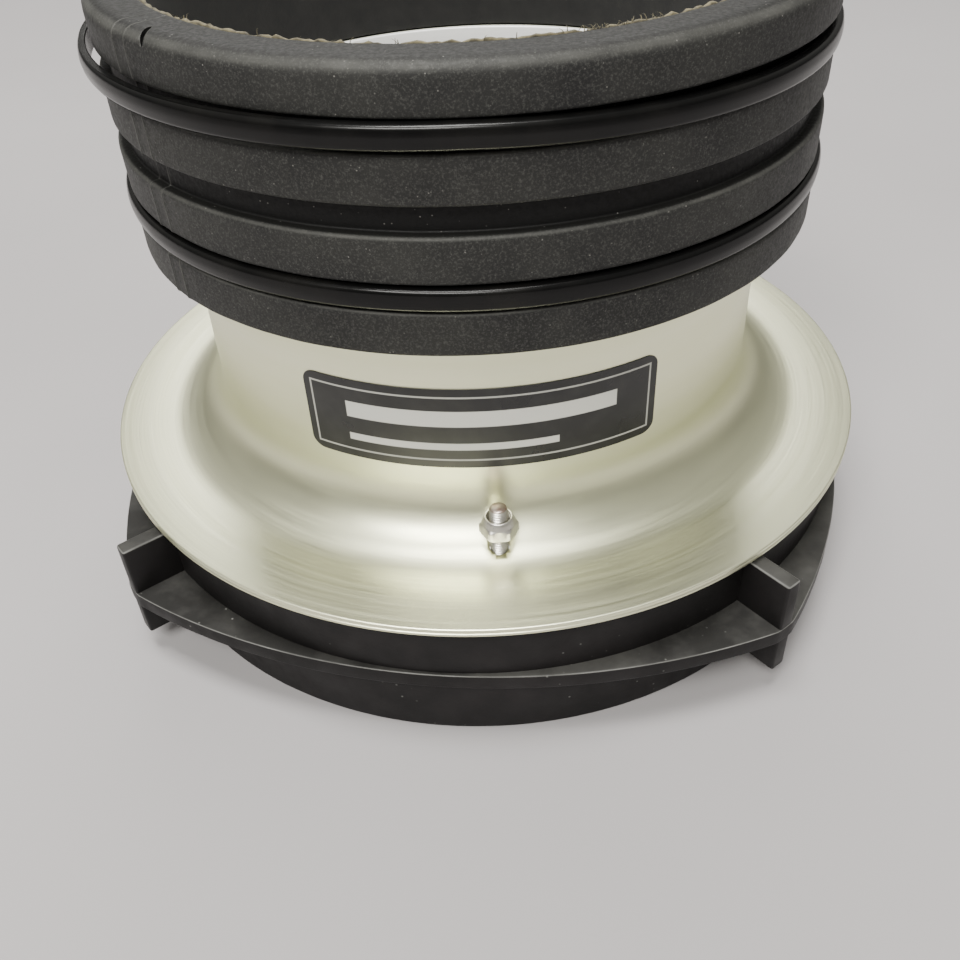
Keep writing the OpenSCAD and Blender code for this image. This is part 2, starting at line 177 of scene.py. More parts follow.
def aluminium():
    n = Nodes("spun_aluminium", (0.90, 0.90, 0.70), 0.34, 1.0)
    radius, angle, z = n.polar()
    along = n.math("ADD", radius, n.math("MULTIPLY", z, 0.9))
    turned = n.vector(along, n.math("MULTIPLY", angle, 0.0012), 0.0)
    lines = n.noise(1500, 4, 0.65, turned)
    broad = n.noise(260, 2, 0.5, turned)
    cloud = n.noise(28, 3)
    tint = n.blend(n.ramp(cloud, (0.3, 0.0), (0.75, 1.0)), (0.93, 0.93, 0.66),
                   (0.86, 0.88, 0.62))
    tint = n.blend(n.ramp(broad, (0.35, 0.0), (0.7, 0.35)), tint, (0.97, 0.97, 0.76))
    bore = n.ramp(n.math("MULTIPLY", radius, 10.0), (0.496, 1.0), (0.498, 0.0))
    inside = n.math("MULTIPLY", bore, n.ramp(n.math("MULTIPLY", z, 10.0), (0.38, 0.0), (0.44, 1.0)))
    tint = n.blend(inside, tint, (0.97, 0.97, 0.95))
    n.put(n.math("SUBTRACT", 1.0, n.math("MULTIPLY", inside, 0.85)), n.out.inputs["Metallic"])
    specks = n.ramp(n.cells(210), (0.035, 1.0), (0.055, 0.0))
    keep = n.ramp(n.noise(95, 1), (0.56, 0.0), (0.6, 1.0))
    dust = n.math("MULTIPLY", n.math("MULTIPLY", specks, keep), n.facing_up(0.5, 0.9))
    n.colour(n.blend(dust, tint, (0.95, 0.94, 0.9)))
    n.rough(n.math("ADD", n.ramp(lines, (0.3, 0.31), (0.75, 0.43)), n.math("MULTIPLY", dust, 0.3)))
    scratch = n.noise(900, 2, 0.7, n.vector(along, n.math("MULTIPLY", angle, 0.03), 0.0))
    n.bump(lines, 0.00003, 0.6)
    n.bump(n.noise(520, 3, 0.6, turned), 0.00005, 0.55)
    n.bump(n.ramp(scratch, (0.2, 0.0), (0.3, 1.0)), 0.00001, 0.35)
    return n.mat


def rubber():
    n = Nodes("collar_rubber", (0.04, 0.04, 0.04), 0.6, Specular_IOR_Level=0.20)
    grain = n.noise(1500, 3, 0.7)
    patches = n.noise(60, 4, 0.6)
    base = n.blend(n.ramp(patches, (0.35, 0.0), (0.7, 1.0)), (0.015, 0.015, 0.015),
                   (0.028, 0.028, 0.026))
    salt = n.ramp(n.noise(2900, 3, 0.85), (0.50, 0.0), (0.66, 0.55))
    base = n.blend(salt, base, (0.085, 0.085, 0.079))
    radius, angle, z = n.polar()
    # painted shade mask: the groove floors below the top lip
    groove_shade = n.ramp(n.math("MULTIPLY", n.math("SUBTRACT", radius, 0.0555), 500.0), (0.28, 1.0),
                  (0.62, 0.0))
    low = n.ramp(n.math("MULTIPLY", z, 10.0), (0.975, 1.0), (0.985, 0.0))
    glints = n.ramp(n.cells(1300), (0.10, 1.0), (0.16, 0.0))
    thin = n.ramp(n.noise(420, 2), (0.55, 0.0), (0.66, 1.0))
    # painted highlight: lighter colour along the ribs' rounded upper edges
    edge = n.ramp(n.upward(), (0.25, 0.0), (0.55, 0.7), (0.8, 0.6), (0.97, 0.0))
    lighter_upward = n.math("MULTIPLY", edge, n.ramp(n.noise(170, 4), (0.3, 0.3), (0.7, 1.0)))
    base = n.blend(lighter_upward, base, (0.085, 0.085, 0.078))
    # painted shade: the groove floors darkened to near black
    base = n.blend(n.math("MULTIPLY", groove_shade, low), base, (0.004, 0.004, 0.004))
    # painted shade: the level tops of the lip and ribs darkened
    base = n.blend(n.math("MULTIPLY", n.facing_up(0.9, 0.99), 0.9), base, (0.007, 0.007, 0.0065))
    ridge = None
    for seam in SEAMS:
        off = n.math("ABSOLUTE", n.math("SUBTRACT", angle, math.radians(seam)))
        line = n.ramp(n.math("MULTIPLY", off, 100.0), (0.12, 1.0), (0.38, 0.0))
        ridge = line if ridge is None else n.math("MAXIMUM", ridge, line)
    ridge = n.math("MULTIPLY", ridge, n.ramp(n.noise(130, 2), (0.3, 0.15), (0.6, 1.0)))
    base = n.blend(n.math("MULTIPLY", ridge, 0.55), base, (0.11, 0.11, 0.10))
    n.colour(n.blend(n.math("MULTIPLY", glints, n.math("MULTIPLY", thin, 0.45)), base,
                     (0.30, 0.29, 0.27)))
    n.rough(n.ramp(grain, (0.3, 0.44), (0.7, 0.66)))
    n.bump(grain, 0.00006, 0.55)
    n.bump(n.noise(330, 2), 0.00008, 0.4)
    n.bump(ridge, 0.00025, 0.8)
    return n.mat


def band_black():
    n = Nodes("band_black", (0.004, 0.004, 0.004), 0.24, Specular_IOR_Level=0.22)
    smear = n.noise(70, 4, 0.6)
    n.colour(n.blend(n.ramp(smear, (0.5, 0.0), (0.85, 0.5)), (0.003, 0.003, 0.003),
                     (0.014, 0.013, 0.011)))
    n.rough(n.ramp(smear, (0.3, 0.16), (0.75, 0.30)))
    n.bump(n.noise(220, 2), 0.00005, 0.35)
    return n.mat


def moulded():
    n = Nodes("ring_plastic", (0.02, 0.02, 0.021), 0.5, Specular_IOR_Level=0.22)
    patches = n.noise(45, 5, 0.62)
    spots = n.ramp(n.cells(520), (0.06, 1.0), (0.12, 0.0))
    some = n.ramp(n.noise(80, 3), (0.55, 0.0), (0.68, 1.0))
    dust = n.math("MULTIPLY", n.facing_up(0.2, 0.9), n.ramp(patches, (0.42, 0.0), (0.78, 1.0)))
    base = n.blend(n.ramp(patches, (0.4, 0.0), (0.7, 0.7)), (0.006, 0.0055, 0.0055),
                   (0.016, 0.014, 0.0145))
    lighter_upward = n.math("ADD", n.math("MULTIPLY", dust, 0.6),
                  n.math("MULTIPLY", n.facing_up(0.2, 0.9), 0.12))
    base = n.blend(lighter_upward, base, (0.105, 0.105, 0.097))
    # lighter colour on the upward-facing rounded edges of ledge and fins: partly edge wear, partly
    # a painted highlight
    worn = n.ramp(n.upward(), (0.3, 0.0), (0.5, 0.7), (0.75, 0.7), (0.93, 0.0))
    uneven = n.ramp(n.noise(120, 3), (0.3, 0.25), (0.7, 1.0))
    base = n.blend(n.math("MULTIPLY", worn, uneven), base, (0.27, 0.27, 0.255))
    n.colour(n.blend(n.math("MULTIPLY", spots, n.math("MULTIPLY", some, 0.55)), base,
                     (0.34, 0.34, 0.32)))
    n.rough(n.ramp(n.noise(210, 4), (0.3, 0.40), (0.75, 0.62)))
    n.bump(n.noise(2100, 2, 0.6), 0.00003, 0.5)
    return n.mat


def steel(name, colour, dark, rough, lines=700):
    n = Nodes(name, colour, rough, 1.0)
    soft = n.add("ShaderNodeBevel", samples=6)
    soft.inputs["Radius"].default_value = 0.0002
    n.put(soft.outputs[0], n.out.inputs["Normal"])
    cloud = n.noise(160, 4, 0.6)
    x, y, z = n.axes()
    stretched = n.vector(n.math("MULTIPLY", x, 0.15), y, z)
    brushed = n.noise(lines * 3, 3, 0.6, stretched)
    n.colour(n.blend(n.ramp(cloud, (0.35, 0.0), (0.75, 1.0)), colour, dark))
    if name == "zinc_steel":
        n.colour(screw_end(n, n.out.inputs["Base Color"].links[0].from_socket))
    n.rough(n.ramp(brushed, (0.3, rough - 0.07), (0.7, rough + 0.12)))
    n.bump(brushed, 0.00001, 0.4)
    return n.mat


def screw_end(n, base):
    """Rusty brown on the flat ends of the screws in the cove."""
    z = n.math("MULTIPLY", n.axes()[2], 10.0)
    low, top, soft = SCREW_END_LO / 100, SCREW_END_HI / 100, 0.0005
    high = n.math("MULTIPLY", n.ramp(z, (low, 0.0), (low + soft, 1.0)),
                  n.ramp(z, (top - soft, 1.0), (top, 0.0)))
    rust = n.blend(n.ramp(n.noise(900, 3), (0.35, 0.0), (0.65, 1.0)), (0.42, 0.27, 0.21),
                   (0.60, 0.52, 0.46))
    return n.blend(high, base, rust)


def label():
    """Satin black foil with a pale keyline and two plain bars; no lettering."""
    n = Nodes("label_black", (0.012, 0.012, 0.013), 0.30, Specular_IOR_Level=0.5)
    lo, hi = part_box("neck_label")
    _, angle, z = n.polar()
    across = n.math("MULTIPLY", n.math("ADD", angle, math.radians(0.5)), 0.0505)
    up = n.math("SUBTRACT", z, (lo.z + hi.z) / 2)
    half_w, half_h = 0.0290, (hi.z - lo.z) / 2

    def bar(x0, x1, z0, z1, soft=0.00012):
        edges = [n.math("SUBTRACT", across, x0), n.math("SUBTRACT", x1, across),
                 n.math("SUBTRACT", up, z0), n.math("SUBTRACT", z1, up)]
        near = n.math("MINIMUM", n.math("MINIMUM", edges[0], edges[1]),
                      n.math("MINIMUM", edges[2], edges[3]))
        return n.math("DIVIDE", near, soft, True)

    inner, wide = 0.0013, 0.0016
    frame_line = n.math("SUBTRACT",
                        bar(-half_w + inner, half_w - inner, -half_h + inner, half_h - inner),
                        bar(-half_w + wide, half_w - wide, -half_h + wide, half_h - wide))
    marks = n.math("MAXIMUM", bar(-0.0215, 0.0215, 0.0004, 0.0034),
                   bar(-0.0215, 0.0120, -0.0040, -0.0026))
    ink = n.math("MAXIMUM", n.math("MULTIPLY", frame_line, 0.7), marks)
    haze = n.ramp(n.noise(240, 4), (0.45, 0.0), (0.8, 0.5))
    base = n.blend(haze, (0.010, 0.010, 0.011), (0.035, 0.034, 0.033))
    n.colour(n.blend(ink, base, (0.60, 0.60, 0.56)))
    n.rough(n.ramp(n.noise(130, 3), (0.3, 0.24), (0.75, 0.38)))
    n.bump(n.noise(600, 2), 0.00002, 0.3)
    return n.mat


def cloth(name, light, dark, scale):
    n = Nodes(name, light, 0.95, Sheen_Weight=0.35, Sheen_Roughness=0.6)
    _, angle, z = n.polar()
    warp = n.math("SINE", n.math("MULTIPLY", angle, 0.05 * scale))
    weft = n.math("SINE", n.math("MULTIPLY", z, scale))
    weave = n.math("ADD", n.math("MULTIPLY", warp, weft), n.noise(1800, 3, 0.7))
    n.colour(n.blend(n.ramp(n.math("ADD", n.noise(320, 4, 0.65), n.math("MULTIPLY", weave, 0.1)),
                            (0.35, 0.0), (0.8, 1.0)), light, dark))
    n.bump(weave, 0.00012, 0.7)
    return n.mat


def liner_cloth():
    """Black felt, worn to its tan backing along the top edge."""
    n = Nodes("liner_cloth", (0.012, 0.012, 0.012), 0.95, Sheen_Weight=0.1, Sheen_Roughness=0.6)
    z = n.axes()[2]
    weave = n.noise(1100, 4, 0.75)
    height = n.math("ADD", n.math("MULTIPLY", z, 1000.0), n.math("MULTIPLY", n.noise(700, 3), 1.6))
    worn = n.ramp(n.math("DIVIDE", n.math("SUBTRACT", height, FRAY_FROM), 2.0), (0.35, 0.0),
                  (0.6, 1.0))
    tan = n.blend(n.ramp(n.noise(900, 4), (0.35, 0.0), (0.7, 1.0)), (0.07, 0.06, 0.035),
                  (0.20, 0.175, 0.10))
    dark = n.blend(n.ramp(n.noise(300, 4), (0.3, 0.0), (0.7, 1.0)), (0.004, 0.004, 0.004),
                   (0.010, 0.010, 0.009))
    n.colour(n.blend(worn, dark, tan))
    n.bump(weave, 0.00012, 0.3)
    return n.mat


MATERIALS = {
    "spun_aluminium": aluminium(),
    "collar_rubber": rubber(),
    "band_black": band_black(),
    "ring_plastic": moulded(),
    "label_black": label(),
    "liner_cloth": liner_cloth(),
    "glide_felt": cloth("glide_felt", (0.03, 0.03, 0.03), (0.012, 0.012, 0.012), 7000),
    "latch_steel": steel("latch_steel", (0.62, 0.61, 0.58), (0.44, 0.43, 0.41), 0.30),
    "pin_steel": steel("pin_steel", (0.70, 0.69, 0.67), (0.50, 0.49, 0.48), 0.24, 1200),
    "zinc_steel": steel("zinc_steel", (0.86, 0.85, 0.80), (0.70, 0.67, 0.60), 0.33, 1500),
    "retainer_metal": steel("retainer_metal", (0.50, 0.50, 0.49), (0.34, 0.34, 0.33), 0.42),
}
NODE_SLOTS = {part["node"]: part["material_slot"] for part in frame["record"]["subparts"]}
for node, obj in frame["nodes"].items():
    obj.data.materials.clear()
    obj.data.materials.append(MATERIALS[NODE_SLOTS[node]])


# ---- mesh helpers -----------------------------------------------------------------

def fillet(corners, steps=5):
    """Closed outline from (r, z, rounding) corners in mm, each rounded off by an arc."""
    points = []
    count = len(corners)
    for i, (x, y, rounding) in enumerate(corners):
        here = Vector((x, y))
        before = Vector(corners[i - 1][:2]) - here
        after = Vector(corners[(i + 1) % count][:2]) - here
        if rounding <= 0:
            points.append(here)
            continue
        half = before.angle(after) / 2
        reach = min(rounding / math.tan(half), before.length * 0.49, after.length * 0.49)
        a, b = here + before.normalized() * reach, here + after.normalized() * reach
        for k in range(steps + 1):
            t = k / steps
            points.append(a * (1 - t) ** 2 + here * (2 * t * (1 - t)) + b * t ** 2)
    return points


def dense(points, longest):
    """Same closed outline with no edge longer than this many mm."""
    result = []
    for i, a in enumerate(points):
        b = points[(i + 1) % len(points)]
        cuts = max(1, math.ceil((b - a).length / longest))
        result += [a.lerp(b, k / cuts) for k in range(cuts)]
    return result


def finish_piece(name, mesh, slot, body, *nodes, smooth=35):
    obj = bpy.data.objects.new(name, mesh)
    bpy.context.scene.collection.objects.link(obj)
    mesh.materials.append(MATERIALS[slot])
    mesh.shade_smooth()
    mesh.set_sharp_from_angle(angle=math.radians(smooth))
    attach(obj, body)
    if nodes:
        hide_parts(*nodes)
    return obj


def revolve(bm, outline, count, shape=None, gap=0.0, at=None):
    """Turns a closed (r, z) outline in mm round Z. gap, in degrees each side of the back, leaves
    an opening with closed ends. shape(r, z, angle) moves a point; angle is 0 at the front."""
    start, turn = math.radians(-180 + gap), math.radians(360 - 2 * gap)
    rings = []
    for i in range(count if gap == 0 else count + 1):
        a = start + turn * i / count
        ring = []
        for p in outline:
            r, z = shape(p.x, p.y, a) if shape else (p.x, p.y)
            co = Vector((r * math.sin(a), -r * math.cos(a), z)) * MM
            ring.append(bm.verts.new(at @ co if at else co))
        rings.append(ring)
    size = len(outline)
    for i in range(len(rings) if gap == 0 else len(rings) - 1):
        a, b = rings[i], rings[(i + 1) % len(rings)]
        for k in range(size):
            m = (k + 1) % size
            bm.faces.new((a[k], a[m], b[m], b[k]))
    if gap:
        bm.faces.new(rings[0])
        bm.faces.new(list(reversed(rings[-1])))


def close(bm, name):
    bmesh.ops.recalc_face_normals(bm, faces=bm.faces)
    mesh = bpy.data.meshes.new(name)
    bm.to_mesh(mesh)
    bm.free()
    return mesh


def block(bm, lo, hi, turn, rounding):
    """Box from lo to hi in mm with rounded edges, turned about Z by this many degrees."""
    part = bmesh.new()
    bmesh.ops.create_cube(part, size=1)
    for v in part.verts:
        v.co = Vector([(l + h) / 2 + c * (h - l) for l, h, c in zip(lo, hi, v.co)]) * MM
    bmesh.ops.bevel(part, geom=part.edges[:], offset=rounding * MM, segments=3,
                    affect="EDGES", profile=0.5)
    bmesh.ops.transform(part, matrix=Matrix.Rotation(math.radians(turn), 4, "Z"), verts=part.verts)
    mesh = bpy.data.meshes.new("part")
    part.to_mesh(mesh)
    part.free()
    bm.from_mesh(mesh)
    bpy.data.meshes.remove(mesh)


def waver(a, z, size, scale=1.0, seed=0.0):
    """Smooth unevenness in mm, the same on both sides of the seam."""
    return size * noise.noise(Vector((math.sin(a) * scale + seed, math.cos(a) * scale, z * 0.05)))


def carve(piece, bm):
    """Cuts the closed shape in bm out of a piece."""
    cutter = bpy.data.objects.new("cutter", close(bm, "cutter"))
    bpy.context.scene.collection.objects.link(cutter)
    cut = piece.modifiers.new("cut", "BOOLEAN")
    cut.object, cut.operation, cut.solver = cutter, "DIFFERENCE", "EXACT"
    bpy.context.view_layer.update()
    graph = bpy.context.evaluated_depsgraph_get()
    mesh = bpy.data.meshes.new_from_object(piece.evaluated_get(graph))
    piece.modifiers.clear()
    piece.data = mesh
    bpy.data.objects.remove(cutter)


# ---- spun plate -------------------------------------------------------------------

SCREW_R, SCREW_TURN, SCREWS = 55.25, 1.5, 3


def screw_places():
    return [Matrix.Rotation(math.radians(SCREW_TURN + i * 360 / SCREWS), 4, "Z")
            @ Matrix.Translation((0, -SCREW_R * MM, 0)) for i in range(SCREWS)]


def arc(radius, start, stop, steps):
    """Arc of the cove in mm, between two angles in degrees."""
    turns = (math.radians(start + (stop - start) * k / steps) for k in range(steps + 1))
    return [Vector((COVE_AT[0] + radius * math.cos(t), COVE_AT[1] + radius * math.sin(t)))
            for t in turns]


COVE_AT, COVE_R, SHEET, NECK_IN, NECK_OUT, NECK_TOP = (61.5, 38.2), 11.0, 1.5, 49.0, 50.5, 79.5
FLANGE_LO, FLANGE_HI, FLANGE_R, HOLE_R = 25.7, 27.2, 72.0, 1.7
rim = fillet([(COVE_AT[0] + 2, FLANGE_LO, 0), (FLANGE_R, FLANGE_LO, 0.3),
              (FLANGE_R, FLANGE_LO + 0.52, 0.08), (FLANGE_R - 0.16, FLANGE_LO + 0.66, 0.08),
              (FLANGE_R - 0.16, FLANGE_LO + 0.80, 0.08), (FLANGE_R, FLANGE_LO + 0.94, 0.08),
              (FLANGE_R, FLANGE_HI, 0.3), (COVE_AT[0] + 2, FLANGE_HI, 0)], 4)
section = (arc(COVE_R + SHEET, 180, 270, 18) + rim + arc(COVE_R, 270, 180, 18)
           + fillet([(NECK_OUT, NECK_TOP - 3, 0), (NECK_OUT, NECK_TOP, 0.35),
                     (NECK_IN, NECK_TOP, 0.35), (NECK_IN, NECK_TOP - 3, 0)], 3))
bm = bmesh.new()
revolve(bm, section, 540)
plate = finish_piece("spun_plate", close(bm, "spun_plate"), "spun_aluminium", ROOT,
                     "flange_plate", smooth=40)
bm = bmesh.new()
for place in screw_places():
    bmesh.ops.create_cone(bm, cap_ends=True, segments=48, radius1=HOLE_R * MM, radius2=HOLE_R * MM,
                          depth=20 * MM, matrix=place @ Matrix.Translation((0, 0, 32 * MM)))
carve(plate, bm)


# ---- rubber collar and its liner --------------------------------------------------

RIB_R, GROOVE_R, BORE_R = 57.7, 55.97, 50.52
COLLAR_Z, COLLAR_TOP, RIB_H, PITCH = 66.0, 104.8, 6.7, 10.7
RIBS = 4


def collar_outline():
    corners = [(BORE_R, COLLAR_Z, 0.4)]
    for i in range(RIBS):
        z = COLLAR_Z + i * PITCH
        top = i == RIBS - 1
        corners.append((RIB_R - 0.05, z, 0.55))
        corners.append((RIB_R, z + RIB_H, 2.0 if not top else 2.3))
        if not top:
            corners.append((GROOVE_R, z + RIB_H + 0.05, 0.35))
            corners.append((GROOVE_R, z + PITCH - 0.05, 0.35))
    corners.append((BORE_R, COLLAR_TOP, 0.8))
    return dense(fillet(corners, 6), 1.3)


def collar_shape(r, z, a):
    if r < GROOVE_R - 0.8 and z < COLLAR_TOP - 1.5:
        return r, z
    deg = math.degrees(a)
    bulge = waver(a, z, 0.16, 2.3) + waver(a, z * 3, 0.07, 9.0, 4.0)
    for seam in SEAMS:
        bulge += 0.16 * math.exp(-((deg - seam) / 0.3) ** 2)
    outer = min(1.0, max(0.0, (r - GROOVE_R + 0.8) / 0.8))
    dz = waver(a, 0.0, 0.22, 1.6, 2.0) if z > COLLAR_TOP - 3 else 0.0
    if z > COLLAR_TOP - 1.8:
        dz -= 0.05
    return r + min(bulge, 0.2) * outer, min(z + dz, COLLAR_TOP + 0.1)


bm = bmesh.new()
revolve(bm, collar_outline(), 540, collar_shape)
collar = finish_piece("ribbed_collar", close(bm, "ribbed_collar"), "collar_rubber", ROOT,
                      "rubber_collar", smooth=60)
bm = bmesh.new()
bmesh.ops.create_uvsphere(bm, u_segments=24, v_segments=12, radius=MM)
bmesh.ops.transform(bm, verts=bm.verts, matrix=(
    Matrix.Rotation(math.radians(SLIT_TURN), 4, "Z")
    @ Matrix.Translation((0, -SLIT_AT_R * MM, (COLLAR_TOP - 0.2) * MM))
    @ Matrix.Rotation(math.radians(SLIT_LEAN), 4, "Z") @ Matrix.Diagonal((*SLIT_SIZE, 1))))
carve(collar, bm)

LINER_LO, LINER_HI = 79.8, 104.6


def liner_shape(r, z, a):
    if z > LINER_HI - 0.8:
        ragged = waver(a, 0, 0.3, 14.0, 1.0) + waver(a, 0, 0.4, 45.0, 3.0)
        return r + waver(a, 9, 0.12, 30.0, 5.0), min(z + ragged + 0.05, LINER_HI + 0.45)
    return r, z


bm = bmesh.new()
revolve(bm, dense(fillet([(49.95, LINER_LO, 0.1), (50.5, LINER_LO, 0.1), (50.5, LINER_HI, 0.2),
                          (49.95, LINER_HI, 0.2)], 3), 2.5), 540, liner_shape)
FIBRES, TUFTED = 110, 0.55                  # count, share that stands in tufts
TUFTS = (17, 17, 22, 28, -47, -150)         # degrees; a place given twice is twice as thick
for _ in range(FIBRES):
    a = rng.uniform(-math.pi, math.pi)
    if rng.random() < TUFTED:
        a = math.radians(rng.choice(TUFTS) + rng.gauss(0, 2.2))
    r0, z0 = rng.uniform(50.0, 50.9), LINER_HI - rng.uniform(0.0, 0.5)
    lean, out, rise = rng.uniform(-1.1, 1.1), rng.uniform(-0.9, 0.7), rng.uniform(0.3, 0.9)
    width = rng.uniform(0.05, 0.11)
    rings = []
    for k in range(4):
        t = k / 3
        at = Vector(((r0 + out * t * t) * math.sin(a + lean * t / 50.5),
                     -(r0 + out * t * t) * math.cos(a + lean * t / 50.5),
                     z0 + rise * math.sin(t * 1.9)))
        w = width * (1 - 0.8 * t)
        rings.append([bm.verts.new((at + Vector((w * math.cos(b), w * math.sin(b), 0))) * MM)
                      for b in (0, 2.09, 4.19)])
    for k in range(3):
        for j in range(3):
            m = (j + 1) % 3
            bm.faces.new((rings[k][j], rings[k][m], rings[k + 1][m], rings[k + 1][j]))
    bm.faces.new(rings[0])
    bm.faces.new(rings[3])
finish_piece("frayed_liner", close(bm, "frayed_liner"), "liner_cloth", ROOT, "collar_liner")


# ---- clamp bands ------------------------------------------------------------------

UPPER_IN, LOWER_IN = 57.17, 56.47
BAND_THICK, BAND_HIGH = 2.0, 3.4
UPPER_GAP, LOWER_GAP = 8, 7                 # opening at the back, degrees each side


def band_outline(inner, z):
    """Crowned section, flat towards the collar."""
    half, crown = BAND_HIGH / 2, inner + BAND_THICK
    return fillet([(inner, z + half, 0.3), (crown - 0.25, z + half - 0.08, 0.9), (crown, z, 2.5),
                   (crown - 0.25, z - half + 0.08, 0.9), (inner, z - half, 0.3)], 6)


UPPER_Z, LOWER_Z = 96.1, 74.7
UPPER_SHIFT = 0.8


def upper_shape(r, z, a):
    """Slack hoop: it hangs to the left and sags on the right, true at the back for the latch."""
    away = (1 + math.cos(a)) / 2
    right = max(0.0, math.sin(a))
    sag = -1.5 * right * (0.35 + 0.65 * away) + 0.25 * away
    slack = 0.55 * max(0.0, -math.sin(a)) if r < 58.4 else 0.0
    return r + slack + waver(a, 0, 0.10, 2.0, 7.0) * away, z + sag


shift = Matrix.Translation((-UPPER_SHIFT * MM, 0, 0))
bm = bmesh.new()
revolve(bm, band_outline(UPPER_IN, UPPER_Z), 300, upper_shape, gap=UPPER_GAP, at=shift)
finish_piece("upper_band", close(bm, "upper_band"), "band_black", ROOT, "upper_clamp_band")


def lower_shape(r, z, a):
    away = (1 + math.cos(a)) / 2
    return r + waver(a, 0, 0.12, 2.4, 11.0) * away, z + waver(a, 0, 0.16, 1.8, 13.0) * away


bm = bmesh.new()
revolve(bm, band_outline(LOWER_IN, LOWER_Z), 300, lower_shape, gap=LOWER_GAP)
finish_piece("lower_band", close(bm, "lower_band"), "band_black", ROOT, "lower_clamp_band")


# ---- locking ring -----------------------------------------------------------------

RING_TURN = -8.0
SKIRT_R, SKIRT_IN, WALL_R, WALL_IN = 69.2, 66.2, 70.0, 67.0
LEDGE_Z, LEDGE_T, RING_TOP = 15.0, 3.0, 25.0
SHELF_LO, SHELF_HI, SHELF_IN = 20.2, 23.0, 59.01
ARC_R, LEDGE_NEAR, FIN_R, FIN_LOW, FIN_TOP, FIN_T = 118.0, 70.6, 79.0, 5.0, 24.7, 3.0
LEDGE_PLAIN = 80.0                          # stands for the outline's radius in the section


def ledge_radius(a):
    """The ledge's outline: four shallow arcs that meet at the fins."""
    offset = ARC_R - LEDGE_NEAR
    turn = (a - math.radians(RING_TURN) + math.pi / 4) % (math.pi / 2) - math.pi / 4
    reach = -offset * math.cos(turn) + math.sqrt(ARC_R ** 2 - (offset * math.sin(turn)) ** 2)
    return min(reach, FIN_R + 0.1)


def ledge_shape(r, z, a):
    return (ledge_radius(a) + r - LEDGE_PLAIN if r > SKIRT_R else r), z


step = LEDGE_Z - LEDGE_T / 2
bm = bmesh.new()
revolve(bm, dense(fillet([
    (SKIRT_IN, 0, 0.4), (SKIRT_R, 0, 0.6), (SKIRT_R, step, 0), (WALL_R, step, 0),
    (WALL_R, RING_TOP, 0.5), (WALL_IN, RING_TOP, 0.3), (WALL_IN, SHELF_HI, 0.3),
    (SHELF_IN, SHELF_HI, 0.2), (SHELF_IN, SHELF_LO, 0.2), (WALL_IN, SHELF_LO, 0.4),
    (WALL_IN, LEDGE_Z, 0.3), (SKIRT_IN, LEDGE_Z, 0.3)], 4), 4), 360)
revolve(bm, fillet([(SKIRT_R - 1, LEDGE_Z - LEDGE_T, 0), (LEDGE_PLAIN, LEDGE_Z - LEDGE_T, 0.35),
                    (LEDGE_PLAIN, LEDGE_Z, 0.35), (SKIRT_R - 1, LEDGE_Z, 0)], 4), 720, ledge_shape)
for i in range(4):
    block(bm, (SKIRT_R - 1, -FIN_T / 2, FIN_LOW), (FIN_R, FIN_T / 2, FIN_TOP),
          RING_TURN + 45 + 90 * i, 0.45)
GUSSETS, GUSSET_IN, GUSSET_T = 12, 63.95, 1.6
for i in range(GUSSETS):
    block(bm, (GUSSET_IN, -GUSSET_T / 2, LEDGE_Z + 1),
          (WALL_IN + 0.2, GUSSET_T / 2, SHELF_LO + 0.2),
          RING_TURN + i * 360 / GUSSETS, 0.15)
finish_piece("grip_ring", close(bm, "grip_ring"), "ring_plastic", RING, "locking_ring")


# ---- screws and lock nuts ---------------------------------------------------------

NUT_Z, SCREW_SEAT, THREAD_R, PITCH_M3, NUT_AF = 31.9, 16.98, 1.5, 0.5, 5.5


def hexagon(a):
    turn = (a + math.pi / 6) % (math.pi / 3) - math.pi / 6
    return NUT_AF / 2 / math.cos(turn)


def hex_shape(r, z, a):
    """Hexagon below, with its corners turned off; round collar above."""
    return (min(r, hexagon(a)) if r > NUT_AF / 2 else r), z


def thread_shape(r, z, a):
    if r > THREAD_R + 0.05 or r < 0.9 * THREAD_R:
        return r, z
    turn = (z / PITCH_M3 + a / (2 * math.pi)) % 1
    return r - 0.3 * abs(2 * turn - 1), z


nut = fillet([(1.46, NUT_Z, 0), (2.95, NUT_Z, 0), (3.18, NUT_Z + 0.18, 0), (3.18, NUT_Z + 1.6, 0),
              (2.72, NUT_Z + 2.0, 0.2), (2.45, NUT_Z + 2.7, 0.5), (2.2, NUT_Z + 3.2, 0.25),
              (1.93, NUT_Z + 3.14, 0.08), (1.9, NUT_Z + 1.3, 0.1), (1.46, NUT_Z + 1.2, 0)], 4)
bm = bmesh.new()
for place in screw_places():
    revolve(bm, nut, 72, hex_shape, at=place)
finish_piece("lock_nuts", close(bm, "lock_nuts"), "zinc_steel", ROOT, "retainer_nuts", smooth=28)

TIP = NUT_Z + 4.88
shank = [Vector((0.02, TIP)), Vector((1.22, TIP)), Vector((1.34, TIP - 0.12))]
level = TIP - 0.3
while level > SCREW_SEAT:
    shank.append(Vector((THREAD_R, level)))
    level -= 0.0625
shank += [Vector((r, SCREW_SEAT - drop)) for r, drop in (
    (THREAD_R, 0), (2.7, 0), (2.8, 0.2), (2.8, 1.2), (2.3, 1.8), (1.3, 2.0), (1.15, 0.9),
    (0.02, 0.9))]
bm = bmesh.new()
for place in screw_places():
    revolve(bm, shank, 36, thread_shape, at=place)
finish_piece("threaded_screws", close(bm, "threaded_screws"), "zinc_steel", ROOT, "retainer_screws",
             smooth=50)


# ---- floor, light, camera ---------------------------------------------------------

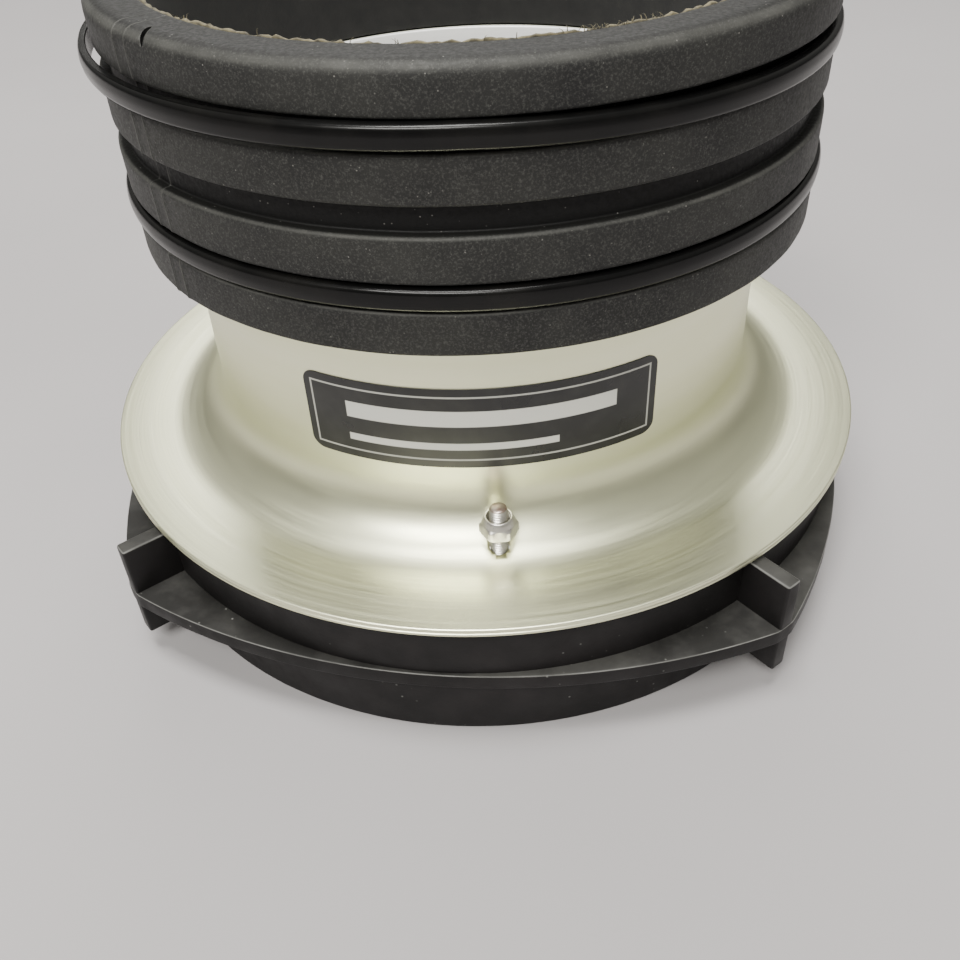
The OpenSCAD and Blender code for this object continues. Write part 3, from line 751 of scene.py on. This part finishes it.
mesh = bpy.data.meshes.new("floor")
HALF = 3                                    # half the floor's side in metres
mesh.from_pydata([(-HALF, -HALF, 0), (HALF, -HALF, 0), (HALF, HALF, 0), (-HALF, HALF, 0)], [],
                 [(0, 1, 2, 3)])
floor = bpy.data.objects.new("floor", mesh)
bpy.context.scene.collection.objects.link(floor)
n = Nodes("floor_cloth", (0.39, 0.38, 0.385), 0.9)
n.colour(n.blend(n.ramp(n.noise(6, 3), (0.3, 0.0), (0.8, 1.0)), (0.40, 0.385, 0.39),
                 (0.36, 0.345, 0.35)))
mesh.materials.append(n.mat)

world = bpy.data.worlds.new("room")
bpy.context.scene.world = world
world.use_nodes = True
tree = world.node_tree
back = tree.nodes["Background"]
coord = tree.nodes.new("ShaderNodeTexCoord")
split = tree.nodes.new("ShaderNodeSeparateXYZ")
ramp = tree.nodes.new("ShaderNodeValToRGB")
tree.links.new(coord.outputs["Generated"], split.inputs[0])
tree.links.new(split.outputs[2], ramp.inputs[0])
SKY = ((0.0, (0.14, 0.135, 0.13)), (0.2, (0.26, 0.255, 0.24)), (0.45, (0.48, 0.47, 0.435)),
       (0.72, (0.48, 0.47, 0.435)), (0.86, (0.30, 0.30, 0.29)), (1.0, (0.6, 0.6, 0.58)))
while len(ramp.color_ramp.elements) < len(SKY):
    ramp.color_ramp.elements.new(0.5)
for element, (at, colour) in zip(ramp.color_ramp.elements, SKY):
    element.position = at
    element.color = (*colour, 1)
tree.links.new(ramp.outputs[0], back.inputs[0])
back.inputs[1].default_value = 0.8


def area(name, place, target, size, power, colour=(1, 1, 1)):
    lamp = bpy.data.lights.new(name, "AREA")
    lamp.shape = "RECTANGLE"
    lamp.size, lamp.size_y = size
    lamp.energy = power
    lamp.color = colour
    obj = bpy.data.objects.new(name, lamp)
    bpy.context.scene.collection.objects.link(obj)
    obj.location = place
    obj.rotation_mode = "QUATERNION"
    obj.rotation_quaternion = (Vector(target) - Vector(place)).to_track_quat("-Z", "Y")


area("overhead", (-0.08, -0.12, 1.25), (0, 0, 0.03), (0.5, 0.34), 18, (1.0, 0.985, 0.95))
area("front_key", (-0.32, -0.95, 1.25), (0, 0, 0.04), (0.85, 0.45), 30, (1.0, 0.985, 0.94))
area("back_fill", (-0.05, 1.25, 1.10), (0, 0, 0.05), (1.15, 0.95), 14, (1.0, 0.985, 0.95))

CAMERA = Vector((0, -0.1727, 0.1389))
PITCH_DEG, YAW_DEG, ROLL_DEG, LENS = 39.39, -0.56, -3.07, 37.48
pitch, yaw, roll = (math.radians(v) for v in (PITCH_DEG, YAW_DEG, ROLL_DEG))
forward = Vector((math.sin(yaw) * math.cos(pitch), math.cos(yaw) * math.cos(pitch),
                  -math.sin(pitch)))
right = forward.cross(Vector((0, 0, 1))).normalized()
above = right.cross(forward)
side = right * math.cos(roll) + above * math.sin(roll)
top = above * math.cos(roll) - right * math.sin(roll)
camera = bpy.data.objects.new("camera", bpy.data.cameras.new("camera"))
bpy.context.scene.collection.objects.link(camera)
camera.data.lens, camera.data.sensor_width = LENS, 36
camera.data.clip_start = 0.01
camera.matrix_world = (Matrix.Translation(CAMERA)
                       @ Matrix((side, top, -forward)).transposed().to_4x4())
bpy.context.scene.camera = camera
